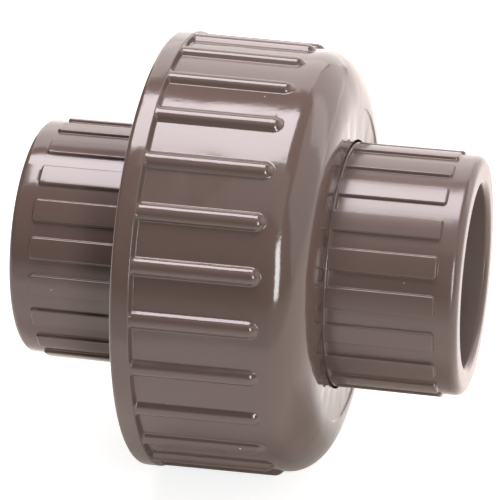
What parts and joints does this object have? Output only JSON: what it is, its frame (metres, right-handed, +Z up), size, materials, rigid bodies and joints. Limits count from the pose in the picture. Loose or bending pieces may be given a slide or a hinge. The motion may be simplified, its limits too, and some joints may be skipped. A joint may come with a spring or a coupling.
{
  "type": "pipe union",
  "caption": "Socket pipe union: ribbed socket ends drawn together over a ring seal by a ribbed ring nut, for cemented plastic pipe.",
  "frame": {"origin": "on the pipe axis, midway between the two hub ends, with the nut tight", "axes": "+X along the pipe axis from the threaded end to the flanged end, +Z up"},
  "size_m": [0.062, 0.0608, 0.0608],
  "materials": {
    "end_plastic": "moulded, satin",
    "nut_plastic": "moulded, glossy",
    "seal_rubber": "moulded, dull"
  },
  "bodies": {
    "threaded_end": {"threaded_end": "end_plastic", "o_ring": "seal_rubber"},
    "flanged_end": {"flanged_end": "end_plastic"},
    "union_nut": {"union_nut": "nut_plastic"}
  },
  "joints": [
    {"name": "tail_slide", "type": "slide", "parent": "threaded_end", "child": "flanged_end", "axis": [1, 0, 0], "range_m": [0, 0.0116]},
    {"name": "nut_turn", "type": "hinge", "parent": "flanged_end", "child": "union_nut", "pos_m": [0, 0, 0], "axis": [1, 0, 0], "range_deg": [0, 1800]}
  ],
  "couplings": [
    {"joint": "tail_slide", "follows": "nut_turn", "m_per_rad": 0.00036749}
  ]
}
